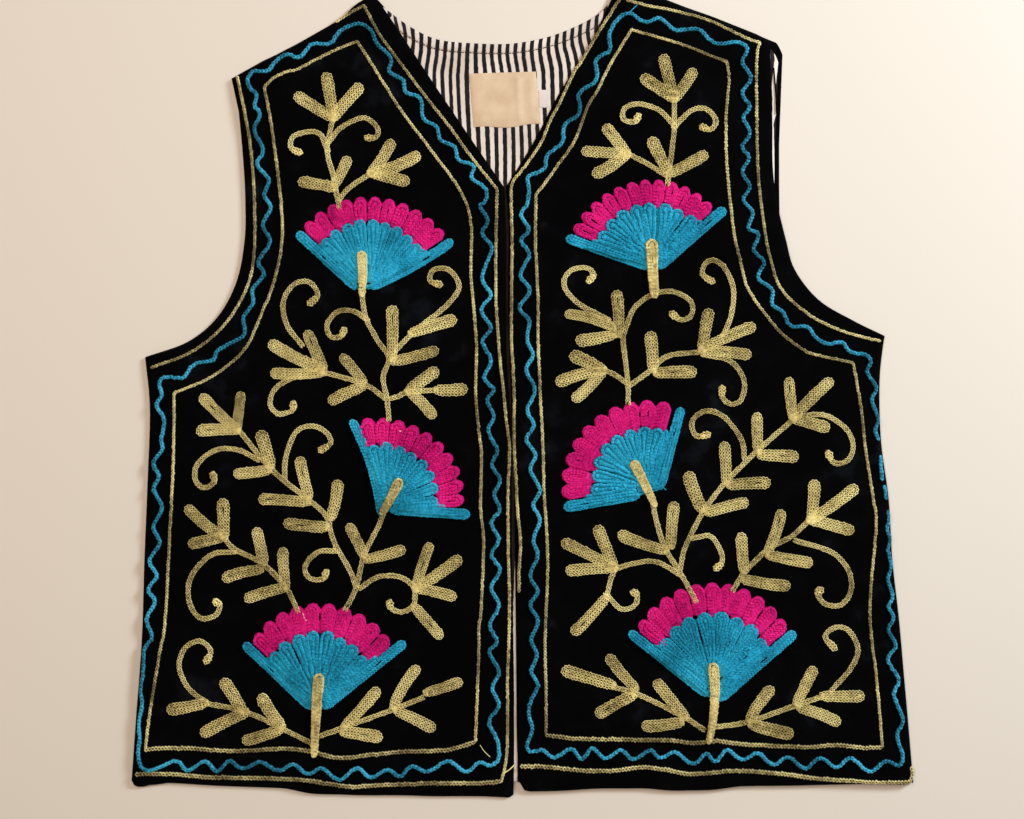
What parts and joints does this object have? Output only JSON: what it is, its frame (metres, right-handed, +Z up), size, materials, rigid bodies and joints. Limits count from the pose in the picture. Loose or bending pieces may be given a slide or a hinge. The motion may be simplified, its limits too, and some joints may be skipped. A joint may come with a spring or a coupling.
{
  "type": "embroidered sleeveless waistcoat",
  "caption": "Sleeveless open-front velvet waistcoat laid flat, with embroidered flowers and vines, a wavy border and a striped lining.",
  "frame": {"origin": "on the surface that the garment lies on, under the middle of its bounding box", "axes": "+Z up, out of the front of the garment; +Y from hem to neck; +X to the wearer's left"},
  "size_m": [0.572, 0.5986, 0.0079],
  "materials": {
    "velvet": "short-pile black cotton velvet",
    "striped_cotton": "plain-weave cotton, cream white with black stripes about 6 mm apart",
    "label_tape": "bare cream woven tape",
    "tab_tape": "bare white woven tape",
    "pink_thread": "chain stitch in matt pink yarn",
    "blue_thread": "chain stitch in matt blue yarn",
    "gold_thread": "chain stitch in matt old-gold yarn"
  },
  "bodies": {
    "root": {"back_panel": "velvet", "back_lining": "striped_cotton", "front_panel_right": "velvet", "front_panel_left": "velvet", "neck_label": "label_tape", "size_tab": "tab_tape", "flower_fan_right_top": "blue_thread", "flower_fan_right_middle": "blue_thread", "flower_fan_right_low": "blue_thread", "flower_fan_left_top": "blue_thread", "flower_fan_left_middle": "blue_thread", "flower_fan_left_low": "blue_thread", "flower_crown_right_top": "pink_thread", "flower_crown_right_middle": "pink_thread", "flower_crown_right_low": "pink_thread", "flower_crown_left_top": "pink_thread", "flower_crown_left_middle": "pink_thread", "flower_crown_left_low": "pink_thread"}
  },
  "joints": []
}
